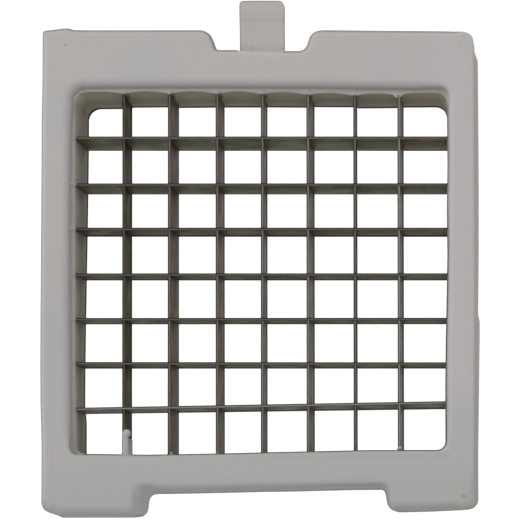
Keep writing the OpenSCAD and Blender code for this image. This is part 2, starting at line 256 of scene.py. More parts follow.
def frame_sdf(x, y, z):
    ux, uz = outer_shift(x, z, False)
    d1 = poly_sdf(OUT1, x - ux, z - uz)
    ux, uz = outer_shift(x, z, True)
    d2 = poly_sdf(OUT2, x - ux, z - uz)
    # the notch's left slope tapers inwards towards the rear
    taper = 1.15 * sstep(-12.6, -10.2, x) * sstep(-6.0, -7.6, x) * sstep(NOTCH - 0.1, NOTCH + 0.5, z) * np.clip((y + 8.4) / 17.9, 0, 1)
    d1, d2 = d1 + taper, d2 + taper
    front = YF - y
    foot = np.exp(-(((x + 23.0) / 3.0) ** 2)) * sstep(8.5, 4.0, z)
    r1 = 1.15 + (0.42 * sstep(10, 5, z) + 0.4 * foot + 0.5 * sstep(-24, -28, x) * sstep(6, 3, z)) * sstep(-42.3, -39.8, x) - 0.75 * sstep(38, 40.5, x) * sstep(3, 7, z)
    draft = 0.62 * sstep(-27, -22, x) * sstep(30, 24, x) * sstep(8, 5.2, z) + 0.5 * foot
    draft = draft + 0.45 * (1.3 * sstep(25, 28, x) * sstep(41, 37, x) + sstep(-25, -28, x) * sstep(-41, -38, x)) * sstep(4.8, 2.6, z)
    d1 = d1 + draft * np.clip((-2.6 - y) / 5.6, 0, 1)
    body = meet(d1, front, r1)
    back = meet(d2, -2.5 - y, 0.45 + 0.5 * sstep(38, 40.5, x))
    s = join(body, back, 0.3)
    s = meet(s, y - YR, 0.3)
    # recess in front of the strips, with its ledge
    xw, zw = window_coords(x, z)
    fore = np.clip((LEDGE_Y - y) / 2.8, 0, 1)
    lean = sstep(18, 45, z)
    left = np.interp(z, (13, 18, 24, 32, 40, 48, 55, 68, 74, 77, 80, 84), (0.25, 0.1, 0.12, 0.18, 0.22, 0.26, 0.32, 0.30, 0.22, 0.1, -0.05, -0.1))
    above = np.interp(x, (-34, -20, -10, 0, 10, 20, 30, 34), (0.13, 0.06, 0.0, -0.14, -0.28, -0.51, -0.72, -0.55)) * sstep(60, 78, z)
    wide = frame2(xw, zw - above, -WX - 0.5 - left - 0.3 * lean * fore, WX + 0.28, WZ0 - 0.2, WZ1 + 1.1 + 0.1 * fore, (1.6, 1.9, 2.6, 1.7))
    rw = 1.55 + 0.2 * sstep(74, 82, z) + (0.1 - 0.2 * lean) * sstep(-30, -35, x) * sstep(80, 72, z)
    rw = rw + (1.15 - rw) * sstep(30, 35.5, x)
    rw = rw + (0.6 - rw) * sstep(16.5, 12.3, z)
    recess = join(meet(-wide, front, rw), -(y - LEDGE_Y), 0.22 + 0.28 * sstep(78, 81, z))
    s = np.maximum(s, recess)
    hole = window_hole(x, y, z)
    s = meet(s, -hole, 0.16 + 0.2 * sstep(-34, -36, x))
    s = np.maximum(s, meet(-hole, y - YR, 0.2))
    # open channel behind, with its ribs and the block under the notch
    c = join(box2(x, z, CX0, CX1, GAP + 2.0, TOP - 2.0), box2(x, z, CX0, -25.1, 2.2, 14.2), 0.8)
    c = join(c, box2(x, z, 26.4, CX1, 2.2, 14.2), 0.8)
    c = meet(c, -box2(x, z, -SX, SX, SZ0, SZ1, 1.2), 0.7)
    c = meet(c, -box2(x, z, -11.4, 12.6, NOTCH - 2.0, 120), 0.8)
    up = nearest(x, PX) - 0.9
    up = np.maximum(up, np.minimum(83.7 - z, z - 10.0))
    lv = np.maximum(nearest(z, PZ) - 0.9, SX - 0.5 - np.abs(x))
    deep = meet(c, -np.minimum(up, lv), 0.55)
    deep = meet(deep, -7.1 - y, 0.6)
    void = join(deep, np.maximum(c, 8.0 - y), 0.25)
    block = box3(x, y, z, (-6.175, -9.0, 83.5), (6.825, 1.0, 92.0), 0.4)
    void = meet(void, -block, 0.6)
    # round marks of the ejector pins on the channel's floor
    for ex, ez in ((-32.0, 5.8), (34.0, 5.8), (-31.2, 88.2), (31.8, 88.2)):
        pin = np.maximum(np.hypot(x - ex, z - ez) - 1.7, -7.3 - y)
        void = np.minimum(void, np.maximum(pin, y + 6.0))
    s = meet(s, -void, 0.25)
    # slot that the tongue stands in
    slot = box3(x, y, z, (-4.25, -3.55, 87.2), (4.9, -1.65, 95.0), 0.3)
    s = np.maximum(s, -slot)
    # plastic that crept onto the strips when the frame was moulded round them
    for i, h in enumerate(HZ0):
        zz = h - 36.0 * HTILT[i]
        web = rod(x, y, z, (-36.9, -6.75, zz + 0.12), (-35.95, -6.45, zz + 0.02), 0.46, 0.22)
        s = join(s, web, 0.25)
    for i, (dx, h, r) in enumerate(((0.0, 0.0, 0.0), (0.62, 0.2, 0.33), (0.2, 0.35, 0.38), (0.0, 0.1, 0.2), (0.1, 0.1, 0.2), (0.0, 0.0, 0.0), (0.1, 0.95, 0.42))):
        if r:
            s = join(s, rod(x, y, z, (VX0[i] + dx, -6.7 - dx * 1.2, WZ0 - 0.6), (VX0[i] + dx, -6.55 - dx * 1.3, WZ0 + h), r + 0.1, r), 0.2)
    for v in VX0:
        s = join(s, rod(x, y, z, (v, -6.9, 83.3), (v, -6.5, 82.0), 0.3, 0.2), 0.2)
    stem = rod(x, y, z, (-26.2, -6.6, 10.8), (-26.28, -6.75, 15.1), 0.74, 0.58)
    nub = ball(x, y, z, (-26.05, -6.8, 15.65), 0.83)
    s = join(s, join(stem, nub, 0.12), 0.15)
    s = np.minimum(s, box3(x, y, z, (-27.0, -6.6, 10.6), (-26.22, 6.8, 14.75), 0.15))
    return s


TX, TY, TZ = 0.325, -2.6, 100.95         # middle of the tongue, its mid-plane, its top


def tongue_profile():
    b = 0.9
    p = [(b, 86.8), (b, TZ - 1.2), (b - 0.25, TZ - 0.45), (b - 0.85, TZ - 0.02), (b - 1.9, TZ + 0.03), (-b - 1.15, TZ - 0.18),
         (-b - 1.72, TZ - 0.7), (-b - 1.88, TZ - 1.35), (-b - 1.72, TZ - 2.1), (-b - 1.38, TZ - 3.1), (-b - 0.95, TZ - 4.2),
         (-b - 0.5, TZ - 5.3), (-b - 0.15, TZ - 6.4), (-b, TZ - 7.8), (-b, 86.8)]
    return chaikin(p, 3)


TPROF = tongue_profile()


def tongue_sdf(x, y, z):
    side = poly_sdf(TPROF, y - TY, z)
    flat = frame2(x, z + 0.09 * sstep(-1, 3, x), TX - 4.45, TX + 4.45, 80.0, TZ, (0.9, 0.9, 1.05, 1.45))
    s = meet(side, flat, 0.4)
    # flared foot where it grows out of the notch
    pad = box3(x, y, z, (TX - 5.4, TY - 2.1, 87.6), (TX + 5.4, TY + 2.1, NOTCH - 0.03), 0.3)
    s = join(s, pad, 0.95)
    s = np.maximum(s, np.maximum(np.abs(x - TX) - 5.4, np.abs(y - TY) - 2.1))
    return s


# ------------------------------------------------------------ meshes from fields
def steps(*spans):
    """Grid lines: (start, end, spacing) spans one after another."""
    out = [spans[0][0]]
    for a, b, h in spans:
        n = max(1, round((b - a) / h))
        out += [a + (b - a) * (i + 1) / n for i in range(n)]
    return np.array(out)


def surface_net(field, xs, ys, zs):
    """Vertices on the field's zero surface and the quads between them."""
    f = np.broadcast_to(field(xs[:, None, None], ys[None, :, None], zs[None, None, :]), (len(xs), len(ys), len(zs)))
    s = f < 0
    nx, ny, nz = (n - 1 for n in f.shape)
    count = np.zeros((nx, ny, nz), np.uint8)
    corners = [(a, b, c) for a in (0, 1) for b in (0, 1) for c in (0, 1)]
    for a, b, c in corners:
        count += s[a:nx + a, b:ny + b, c:nz + c]
    cells = np.argwhere((count > 0) & (count < 8))
    index = np.full((nx, ny, nz), -1, np.int64)
    index[tuple(cells.T)] = np.arange(len(cells))
    total, hits = np.zeros((len(cells), 3)), np.zeros(len(cells))
    axes = (xs, ys, zs)
    for p in corners:
        for k in range(3):
            if p[k]:
                continue
            q = list(p)
            q[k] = 1
            ia, ib = cells + p, cells + q
            fa, fb = f[tuple(ia.T)], f[tuple(ib.T)]
            cross = (fa < 0) != (fb < 0)
            t = np.where(cross, fa / np.where(cross, fa - fb, 1), 0)
            pa = np.stack([axes[m][ia[:, m]] for m in range(3)], 1)
            pb = np.stack([axes[m][ib[:, m]] for m in range(3)], 1)
            total += (pa + (pb - pa) * t[:, None]) * cross[:, None]
            hits += cross
    verts = total / hits[:, None]
    quads = []
    for k in range(3):
        a, b = (k + 1) % 3, (k + 2) % 3
        lo, hi = [slice(None)] * 3, [slice(None)] * 3
        lo[k], hi[k] = slice(0, -1), slice(1, None)
        edge = s[tuple(lo)] != s[tuple(hi)]
        at = np.argwhere(edge)
        keep = (at[:, a] > 0) & (at[:, a] < f.shape[a] - 1) & (at[:, b] > 0) & (at[:, b] < f.shape[b] - 1)
        at = at[keep]
        ring = []
        for da, db in ((1, 1), (0, 1), (0, 0), (1, 0)):
            c = at.copy()
            c[:, a] -= da
            c[:, b] -= db
            ring.append(index[tuple(c.T)])
        quad = np.stack(ring, 1)
        flip = ~s[tuple(at.T)]
        quad[flip] = quad[flip][:, ::-1]
        quads.append(quad)
    return verts, np.concatenate(quads)


def settle(field, v, limit, rounds=2):
    """Moves each vertex along the gradient onto the zero surface."""
    h = 0.03
    for _ in range(rounds):
        d = field(v[:, 0], v[:, 1], v[:, 2])
        g = np.stack([field(*(v + h * np.eye(3)[k]).T) - d for k in range(3)], 1) / h
        move = -(d / np.maximum((g * g).sum(1), 0.25))[:, None] * g
        size = np.linalg.norm(move, axis=1, keepdims=True)
        v = v + move * np.minimum(1, limit / np.maximum(size, 1e-9))
    return v


def mesh_object(name, verts, faces, smooth=True, angle=None):
    me = bpy.data.meshes.new(name)
    me.from_pydata([tuple(p) for p in ((np.asarray(verts) + (0, 0, DROP)) * MM).tolist()], [], [tuple(f) for f in faces])
    me.validate()
    me.update()
    if smooth:
        me.polygons.foreach_set("use_smooth", np.ones(len(me.polygons), bool))
    if angle is not None:
        me.set_sharp_from_angle(angle=math.radians(angle))
    o = bpy.data.objects.new(name, me)
    bpy.context.scene.collection.objects.link(o)
    return o


def thin_out(o, ratio):
    """Merges faces where the surface is flat."""
    m = o.modifiers.new("thin", "DECIMATE")
    m.ratio = ratio
    dg = bpy.context.evaluated_depsgraph_get()
    new = bpy.data.meshes.new_from_object(o.evaluated_get(dg))
    o.modifiers.clear()
    old = o.data
    o.data = new
    new.name = o.name
    bpy.data.meshes.remove(old)
    new.polygons.foreach_set("use_smooth", np.ones(len(new.polygons), bool))


def hold_inside(o):
    """Keeps a piece's vertices just inside the CAD's overall box."""
    me = o.data
    co = np.empty(len(me.vertices) * 3)
    me.vertices.foreach_get("co", co)
    co = np.clip(co.reshape(-1, 3), np.array(CAD_LO) + (2e-6, 2e-6, 0), np.array(CAD_HI) - 2e-6)
    me.vertices.foreach_set("co", co.ravel())
    me.update()


# --------------------------------------------------------------------- strips
def rows_between(a, b, n):
    return [a + (b - a) * i / n for i in range(1, n)]


def plate(name, place, along, depth, gone):
    """A thin strip as a grid of cells on both faces. place(a, b, side) gives a
    point for grid line a along the strip and line b across it; gone(a, b) says
    that the cell past those lines is cut out."""
    na, nb = len(along), len(depth)
    verts, faces, ids = [], [], {}

    def v(a, b, side):
        key = (a, b, side)
        if key not in ids:
            ids[key] = len(verts)
            verts.append(place(a, b, side))
        return ids[key]

    def there(a, b):
        return 0 <= a < na - 1 and 0 <= b < nb - 1 and not gone(a, b)

    for a in range(na - 1):
        for b in range(nb - 1):
            if not there(a, b):
                continue
            q = [(a, b), (a + 1, b), (a + 1, b + 1), (a, b + 1)]
            faces.append([v(i, j, 1) for i, j in q])
            faces.append([v(i, j, -1) for i, j in reversed(q)])
            for (i, j), (k, m), (da, db) in ((q[0], q[1], (0, -1)), (q[1], q[2], (1, 0)), (q[2], q[3], (0, 1)), (q[3], q[0], (-1, 0))):
                if not there(a + da, b + db):
                    faces.append([v(k, m, 1), v(i, j, 1), v(i, j, -1), v(k, m, -1)])
    return verts, faces


def half_thick(y):
    """Half the strip's thickness: ground on both sides towards the front edge."""
    if y < EDGE0 + 0.01:
        return 0.205
    if y > EDGE1 - 0.01:
        return 0.20
    return 0.25


def vx(i, y, z):
    t = (y - EDGE0) / (EDGE1 - EDGE0)
    s = 2 * (z - WZ0) / (WZ1 - WZ0) - 1
    return VX0[i] + (VX1[i] - VX0[i]) * t + VTILT[i] * s


def hz(i, y, x):
    t = (y - EDGE0) / (EDGE1 - EDGE0)
    return HZ0[i] + (HZ1[i] - HZ0[i]) * t + (HTILT[i] + (HTILT1[i] - HTILT[i]) * t) * x


DEPTH = [EDGE0, EDGE0 + 0.1, EDGE0 + 0.6, -3.0, 0.25, 0.35, 3.8, EDGE1 - 0.07, EDGE1]
FRONT_CELLS, REAR_CELLS = range(0, 4), range(5, 8)


def upright(i):
    along = [("end", 8.5, 0)]
    last = 8.5
    for j in reversed(range(7)):
        z = HZ0[j]
        along += [("mid", p, 0) for p in rows_between(last, z, 4)]
        along += [("slot", j, -0.3), ("slot", j, 0.3)]
        last = z
    along += [("mid", p, 0) for p in rows_between(last, 85.2, 4)] + [("end", 85.2, 0)]

    def place(a, b, side):
        kind, p, off = along[a]
        y = DEPTH[b]
        z = p if kind != "slot" else hz(p, y, VX0[i]) + off
        return (vx(i, y, z) + side * half_thick(y), y, z)

    def gone(a, b):
        return b in FRONT_CELLS and along[a][0] == "slot" and along[a + 1][0] == "slot" and along[a][1] == along[a + 1][1]

    verts, faces = plate("", place, along, DEPTH, gone)
    return verts, faces


def level(j):
    along = [("end", -39.4, 0)]
    last = -39.4
    for i in range(7):
        x = VX0[i]
        along += [("mid", p, 0) for p in rows_between(last, x, 4)]
        along += [("slot", i, -0.3), ("slot", i, 0.3)]
        last = x
    along += [("mid", p, 0) for p in rows_between(last, 39.4, 4)] + [("end", 39.4, 0)]

    def place(a, b, side):
        kind, p, off = along[a]
        y = DEPTH[b]
        x = p if kind != "slot" else vx(p, y, HZ0[j]) + off
        return (x, y, hz(j, y, x) - side * half_thick(y))

    def gone(a, b):
        return b in REAR_CELLS and along[a][0] == "slot" and along[a + 1][0] == "slot" and along[a][1] == along[a + 1][1]

    verts, faces = plate("", place, along, DEPTH, gone)
    return verts, faces


# ------------------------------------------------------------------ materials
class Tree:
    """Short ways to add and link shader nodes."""

    def __init__(self, name):
        self.m = bpy.data.materials.new(name)
        self.m.use_nodes = True
        self.t = self.m.node_tree
        self.t.nodes.clear()
        self.out = self.add("ShaderNodeOutputMaterial")
        self.bsdf = self.add("ShaderNodeBsdfPrincipled")
        self.link(self.bsdf.outputs[0], self.out.inputs["Surface"])
        low = self.add("ShaderNodeVectorMath", operation="SUBTRACT")
        low.inputs[1].default_value = (0, 0, DROP * MM)
        self.link(self.add("ShaderNodeTexCoord").outputs["Object"], low.inputs[0])
        self.co = low.outputs[0]

    def add(self, kind, **values):
        n = self.t.nodes.new(kind)
        for k, v in values.items():
            setattr(n, k, v)
        return n

    def link(self, a, b):
        self.t.links.new(a, b)

    def put(self, socket, value):
        if isinstance(value, bpy.types.NodeSocket):
            self.link(value, socket)
        else:
            socket.default_value = value

    def noise(self, scale, detail=3.0, rough=0.55, stretch=None, distort=0.0):
        vec = self.co
        if stretch:
            m = self.add("ShaderNodeMapping")
            m.inputs["Scale"].default_value = stretch
            self.link(vec, m.inputs["Vector"])
            vec = m.outputs[0]
        n = self.add("ShaderNodeTexNoise")
        n.inputs["Scale"].default_value = scale
        n.inputs["Detail"].default_value = detail
        n.inputs["Roughness"].default_value = rough
        n.inputs["Distortion"].default_value = distort
        self.link(vec, n.inputs["Vector"])
        return n.outputs["Fac"]

    def ramp(self, fac, stops):
        r = self.add("ShaderNodeValToRGB")
        e = r.color_ramp.elements
        while len(e) < len(stops):
            e.new(0.5)
        for el, (p, c) in zip(e, stops):
            el.position = p
            el.color = (c, c, c, 1) if isinstance(c, (int, float)) else (*c, 1)
        self.link(fac, r.inputs[0])
        return r.outputs[0]

    def mix(self, fac, a, b, kind="MIX"):
        n = self.add("ShaderNodeMix", data_type="RGBA", blend_type=kind)
        self.put(n.inputs[0], fac)
        for sock, val in ((n.inputs[6], a), (n.inputs[7], b)):
            self.put(sock, val if isinstance(val, bpy.types.NodeSocket) else (*val, 1))
        return n.outputs[2]

    def math(self, op, a, b=0.0, c=0.0, clamp=False):
        n = self.add("ShaderNodeMath", operation=op, use_clamp=clamp)
        for sock, val in zip(n.inputs, (a, b, c)):
            self.put(sock, val)
        return n.outputs[0]

    def remap(self, v, a, b, c=0.0, d=1.0, smooth=True):
        n = self.add("ShaderNodeMapRange", interpolation_type="SMOOTHSTEP" if smooth else "LINEAR")
        for sock, val in zip(n.inputs[:5], (v, a, b, c, d)):
            self.put(sock, val)
        return n.outputs[0]

    def axis(self, k):
        if not hasattr(self, "sep"):
            self.sep = self.add("ShaderNodeSeparateXYZ")
            self.link(self.co, self.sep.inputs[0])
        return self.sep.outputs[k]

    def spot(self, centre, r0, r1, squash=(1, 1, 1)):
        """1 at a point given in mm, falling to 0 between r0 and r1 mm from it."""
        m = self.add("ShaderNodeVectorMath", operation="SUBTRACT")
        self.link(self.co, m.inputs[0])
        m.inputs[1].default_value = [c * MM for c in centre]
        k = self.add("ShaderNodeVectorMath", operation="MULTIPLY")
        self.link(m.outputs[0], k.inputs[0])
        k.inputs[1].default_value = squash
        d = self.add("ShaderNodeVectorMath", operation="LENGTH")
        self.link(k.outputs[0], d.inputs[0])
        return self.remap(d.outputs["Value"], r0 * MM, r1 * MM, 1.0, 0.0)

    def bump(self, height, strength, distance, normal=None):
        b = self.add("ShaderNodeBump")
        b.inputs["Strength"].default_value = strength
        b.inputs["Distance"].default_value = distance
        self.link(height, b.inputs["Height"])
        if normal is not None:
            self.link(normal, b.inputs["Normal"])
        return b.outputs[0]


def srgb(r, g, b):
    def one(c):
        c /= 255.0
        return c / 12.92 if c <= 0.04045 else ((c + 0.055) / 1.055) ** 2.4
    return (one(r), one(g), one(b))


def plastic(name, base, seed, dirt_and_shading=1.0, shade=None):
    t = Tree(name)
    warm, cool = tuple(c * k for c, k in zip(base, (1.035, 0.995, 0.985))), tuple(c * k for c, k in zip(base, (0.965, 0.99, 0.985)))
    big = t.noise(55.0 + seed, 2.0, 0.5)
    mid = t.noise(420.0, 3.0, 0.6)
    colour = t.mix(t.ramp(big, ((0.3, 0.0), (0.7, 1.0))), cool, warm)
    colour = t.mix(t.ramp(mid, ((0.35, 0.0), (0.75, 0.22))), colour, tuple(c * 0.93 for c in base))
    fine = t.noise(5200.0, 2.0, 0.6)
    colour = t.mix(t.ramp(fine, ((0.3, 0.0), (0.8, 0.12))), colour, tuple(c * 0.86 for c in base))
    # painted shade: the lower part is a little darker and greener than the top, where the light falls brighter, and
    # darker still along the bottom; the right bar is painted a touch lighter, painted light from the right
    low = t.remap(t.axis(2), 0.078, 0.030)
    colour = t.mix(t.math("MULTIPLY", low, 0.8), colour, tuple(c * k for c, k in zip(base, (0.92, 0.935, 0.94))))
    colour = t.mix(t.math("MULTIPLY", t.remap(t.axis(2), 0.012, 0.004), 1.0), colour, tuple(c * k for c, k in zip(base, (0.885, 0.90, 0.90))))
    colour = t.mix(t.math("MULTIPLY", t.remap(t.axis(0), 0.030, 0.037), t.remap(t.axis(2), 0.014, 0.030)), colour, tuple(c * 1.012 for c in base))
    # painted shade: the sides are painted darker than the front face, a dark band where they turn away from the light
    side_shade = t.math("MAXIMUM", t.math("MULTIPLY", t.remap(t.axis(0), -0.0398, -0.0402), t.remap(t.axis(1), -0.0093, -0.0091)),
                    t.math("MULTIPLY", t.remap(t.axis(0), 0.0398, 0.0402), t.remap(t.axis(1), -0.0088, -0.0084)))
    low = t.math("MULTIPLY", t.math("MULTIPLY", t.remap(t.axis(2), 0.0085, 0.0081), t.remap(t.axis(0), 0.0400, 0.0380)), t.remap(t.axis(1), -0.0093, -0.0091))
    side_shade = t.math("MULTIPLY", t.math("MAXIMUM", side_shade, low), t.math("MAXIMUM", t.remap(t.axis(2), 0.0052, 0.0062), t.remap(t.math("ABSOLUTE", t.axis(0)), 0.0412, 0.0416)))
    fade = t.remap(t.axis(1), -0.0080, 0.0015, 1.0, 0.0)
    colour = t.mix(t.math("MULTIPLY", t.math("MULTIPLY", side_shade, fade), 0.95 * dirt_and_shading), colour, tuple(c * 0.62 for c in base))
    # painted shade: a dark band along the top edge, but not in front of the tongue
    top_edge_shade = t.math("MULTIPLY", t.math("MULTIPLY", t.remap(t.axis(2), 0.0870, 0.0874), t.remap(t.axis(1), -0.00945, -0.0091)),
                   t.math("MULTIPLY", t.remap(t.math("ABSOLUTE", t.math("SUBTRACT", t.axis(0), 0.0003)), 0.00425, 0.0046), t.math("MULTIPLY", t.remap(t.axis(0), -0.0424, -0.0418), t.remap(t.axis(0), 0.0414, 0.0408))))
    colour = t.mix(t.math("MULTIPLY", t.math("MULTIPLY", top_edge_shade, fade), 0.95 * dirt_and_shading), colour, tuple(c * 0.52 for c in base))
    # painted light on the inner side of the left foot, lifting the shade there
    foot_light = t.math("MULTIPLY", t.math("MULTIPLY", t.remap(t.axis(0), -0.0245, -0.0236), t.remap(t.axis(0), -0.0200, -0.0214)), t.math("MULTIPLY", t.remap(t.axis(2), 0.0056, 0.0044), t.remap(t.axis(1), 0.0050, -0.0020)))
    colour = t.mix(foot_light, colour, t.mix(1.0, colour, (1.11, 1.11, 1.11), "MULTIPLY"))
    # painted shade on the lower surfaces behind the front face, except at the inner side of the left foot
    underside_shade = t.math("MULTIPLY", t.math("MULTIPLY", t.remap(t.axis(1), -0.0049, -0.0041), t.remap(t.axis(1), 0.0080, 0.0010)), t.math("MULTIPLY", t.remap(t.axis(2), 0.0068, 0.0062), t.remap(t.math("ABSOLUTE", t.axis(0)), 0.0412, 0.0404)))
    underside_shade = t.math("MULTIPLY", underside_shade, t.math("MAXIMUM", t.remap(t.math("ABSOLUTE", t.math("ADD", t.axis(0), 0.0225)), 0.0026, 0.0034), t.remap(t.axis(2), 0.0002, -0.0002)))
    colour = t.mix(t.math("MULTIPLY", underside_shade, 0.58 * dirt_and_shading), colour, tuple(c * 0.5 for c in base))
    # grime inside the window, olive-grey, with painted shade that deepens towards the rear and a painted dark line at
    # the rear edge; the upper wall and its left corner are painted paler, painted light
    inside = t.math("MULTIPLY", t.remap(t.axis(1), -0.0072, -0.0058),
                    t.math("MULTIPLY",
                           t.remap(t.math("ABSOLUTE", t.axis(0)), 0.0370, 0.0366),
                           t.math("MULTIPLY", t.remap(t.axis(2), 0.0109, 0.0113), t.remap(t.axis(2), 0.0833, 0.0829))))
    stub = t.math("SUBTRACT", 1.0, t.spot((-26.2, -6.7, 12.0), 1.2, 1.5, (1, 0, 0.3)))
    inside = t.math("MULTIPLY", inside, stub)
    deep = t.remap(t.axis(1), -0.0067, -0.0010, smooth=False)
    back = t.remap(t.axis(1), -0.0010, 0.0080, smooth=False)
    tall = t.remap(t.axis(2), 0.013, 0.026)
    grime_and_shade = t.mix(back, t.mix(deep, t.mix(tall, (0.500, 0.465, 0.395), (0.655, 0.610, 0.525)), t.mix(tall, (0.345, 0.315, 0.245), (0.600, 0.540, 0.420))), (0.275, 0.240, 0.165))
    above = t.mix(back, t.mix(deep, (0.460, 0.430, 0.345), (0.760, 0.710, 0.540)), (0.335, 0.300, 0.205))
    corner = t.mix(back, t.mix(deep, (0.620, 0.575, 0.470), (0.630, 0.570, 0.430)), (0.310, 0.270, 0.180))
    above = t.mix(t.remap(t.axis(0), -0.0330, -0.0352), above, corner)
    grime_and_shade = t.mix(t.remap(t.axis(2), 0.0740, 0.0790), grime_and_shade, above)
    # painted shade: a dark line along the rear edge of the window
    grime_and_shade = t.mix(t.remap(t.axis(1), 0.0079, 0.0083), grime_and_shade, (0.035, 0.032, 0.026))
    dirt = t.noise(260.0, 4.0, 0.65, distort=0.4)
    colour = t.mix(t.math("MULTIPLY", inside, t.ramp(dirt, ((0.25, 0.9), (0.7, 1.0)))), colour, grime_and_shade)
    # painted light along the upper corner of the recess, lifting its shade; a little darker along the top wall behind
    # the ledge; painted shade on the left ledge
    corner_light = t.math("MULTIPLY", t.math("MULTIPLY", t.remap(t.axis(2), 0.0821, 0.0828), t.remap(t.axis(2), 0.0845, 0.0839)), t.math("MULTIPLY", t.math("MULTIPLY", t.remap(t.axis(1), -0.0086, -0.0077), t.remap(t.axis(1), -0.0064, -0.0067)), t.remap(t.math("ABSOLUTE", t.axis(0)), 0.0385, 0.0379)))
    colour = t.mix(t.math("MULTIPLY", corner_light, dirt_and_shading), colour, t.mix(1.0, colour, (1.22, 1.22, 1.20), "MULTIPLY"))
    brow = t.math("MULTIPLY", t.math("MULTIPLY", t.remap(t.axis(2), 0.0820, 0.0826), t.remap(t.axis(2), 0.0842, 0.0838)), t.math("MULTIPLY", t.remap(t.axis(1), -0.0075, -0.0069), t.remap(t.math("ABSOLUTE", t.axis(0)), 0.0372, 0.0366)))
    colour = t.mix(t.math("MULTIPLY", brow, dirt_and_shading), colour, t.mix(1.0, colour, (0.88, 0.89, 0.88), "MULTIPLY"))
    left = t.math("MULTIPLY", t.math("MULTIPLY", t.remap(t.axis(0), -0.0352, -0.0356), t.remap(t.axis(0), -0.0376, -0.0371)), t.math("MULTIPLY", t.remap(t.axis(1), -0.0074, -0.0069), t.math("MULTIPLY", t.remap(t.axis(2), 0.0815, 0.0800), t.remap(t.axis(2), 0.0100, 0.0112))))
    colour = t.mix(t.math("MULTIPLY", left, dirt_and_shading), colour, t.mix(1.0, colour, (0.76, 0.765, 0.76), "MULTIPLY"))
    # painted shade: a dark line in the corner of the recess, on the right and below
    line = t.math("MULTIPLY", t.math("MAXIMUM", t.math("MULTIPLY", t.remap(t.axis(0), 0.0345, 0.0352), t.remap(t.axis(2), 0.0800, 0.0785)), t.math("MULTIPLY", t.remap(t.axis(2), 0.0128, 0.0124), t.remap(t.axis(0), -0.0348, -0.0340))),
                  t.math("MULTIPLY", t.remap(t.axis(1), -0.0084, -0.0072), t.math("MULTIPLY", t.remap(t.axis(0), 0.0373, 0.0371), t.remap(t.axis(2), 0.0107, 0.0109))))
    line = t.math("MULTIPLY", line, stub)
    colour = t.mix(t.math("MULTIPLY", line, t.remap(t.axis(2), 0.060, 0.045, 0.72, 0.95)), colour, t.mix(t.remap(t.axis(2), 0.060, 0.045), (0.17, 0.165, 0.145), (0.115, 0.11, 0.095)))
    # painted shade along the lower edge of the window
    lip = t.math("MULTIPLY", t.math("MULTIPLY", t.remap(t.axis(2), 0.0122, 0.0117), t.remap(t.axis(2), 0.0104, 0.0110)), t.remap(t.math("ABSOLUTE", t.axis(0)), 0.0372, 0.0366))
    colour = t.mix(t.math("MULTIPLY", lip, 0.12), colour, tuple(c * 0.5 for c in base))
    if shade:
        # painted shade: a shading profile painted up the tongue, darker under the bead and along the edges, the left
        # edge most
        high = t.remap(t.axis(2), 0.091, 0.101, smooth=False)
        wear_and_shade = t.ramp(high, ((0.05, 0.460), (0.12, 0.498), (0.26, 0.500), (0.42, 0.530), (0.50, 0.540), (0.61, 0.505), (0.65, 0.482), (0.69, 0.436), (0.73, 0.452), (0.77, 0.466), (0.82, 0.470), (0.87, 0.450), (0.975, 0.474)))
        colour = t.mix(1.0, colour, t.mix(1.0, wear_and_shade, (2.0, 2.0, 2.0), "MULTIPLY"), "MULTIPLY")
        tan = t.math("MULTIPLY", t.remap(t.axis(2), 0.0960, 0.0972), t.remap(t.axis(2), 0.0996, 0.0988))
        colour = t.mix(t.math("MULTIPLY", tan, 0.8), colour, t.mix(1.0, colour, (1.0, 0.985, 0.93), "MULTIPLY"))
        rim_shade = t.math("MAXIMUM", t.math("MULTIPLY", t.remap(t.axis(0), -0.00374, -0.00390), 1.5), t.math("MAXIMUM", t.math("MULTIPLY", t.remap(t.axis(0), 0.00457, 0.00469), 0.45), t.math("MULTIPLY", t.remap(t.axis(2), 0.10032, 0.10056), 2.0)))
        colour = t.mix(t.math("MULTIPLY", rim_shade, shade), colour, tuple(c * 0.5 for c in base))
    # stains, pits and a scratch
    for centre, r0, r1, tone, amount, squash in (
        ((39.93, -9.4, 92.44), 0.1, 0.75, (0.42, 0.41, 0.22), 0.5, (1, 1, 1.2)),
        ((39.3, -9.4, 3.4), 0.1, 0.85, (0.27, 0.26, 0.15), 0.7, (0.9, 1, 1.2)),
        ((39.57, -9.4, 2.4), 0.1, 0.7, (0.33, 0.32, 0.22), 0.35, (1, 1, 1)),
        ((-41.61, -9.0, 2.18), 0.1, 0.8, (0.25, 0.16, 0.11), 0.65, (1.2, 1, 0.8)),
        ((-40.2, -9.5, 3.5), 0.05, 0.5, (0.28, 0.24, 0.20), 0.25, (1, 1, 1)),
        ((-39.8, -9.5, 1.6), 0.05, 0.5, (0.28, 0.24, 0.20), 0.25, (1, 1, 1)),
        ((-38.0, -9.5, 91.6), 0.05, 0.38, (0.12, 0.12, 0.11), 0.45, (1.2, 1, 0.9)),
        ((39.0, -9.5, 90.8), 0.05, 0.35, (0.2, 0.19, 0.17), 0.3, (1, 1, 1)),
        ((22.2, -9.5, 6.3), 0.1, 0.7, (0.40, 0.34, 0.28), 0.25, (1.4, 1, 0.8)),
        ((-40.27, -9.5, 9.13), 0.05, 0.45, (0.26, 0.24, 0.17), 0.3, (1, 1, 0.7)),
        ((-29.95, -9.5, 9.12), 0.05, 0.35, (0.22, 0.22, 0.22), 0.22, (1, 1, 1)),
        ((-40.28, -9.5, 11.46), 0.1, 1.1, (0.36, 0.30, 0.27), 0.3, (2.0, 1, 0.7)),
        ((32.52, -9.5, 9.96), 0.05, 0.35, (0.22, 0.22, 0.23), 0.22, (1, 1, 1)),
        ((-1.6, -3.5, 91.4), 0.02, 0.35, (0.2, 0.19, 0.17), 0.5, (2.0, 1, 0.5)),
    ):
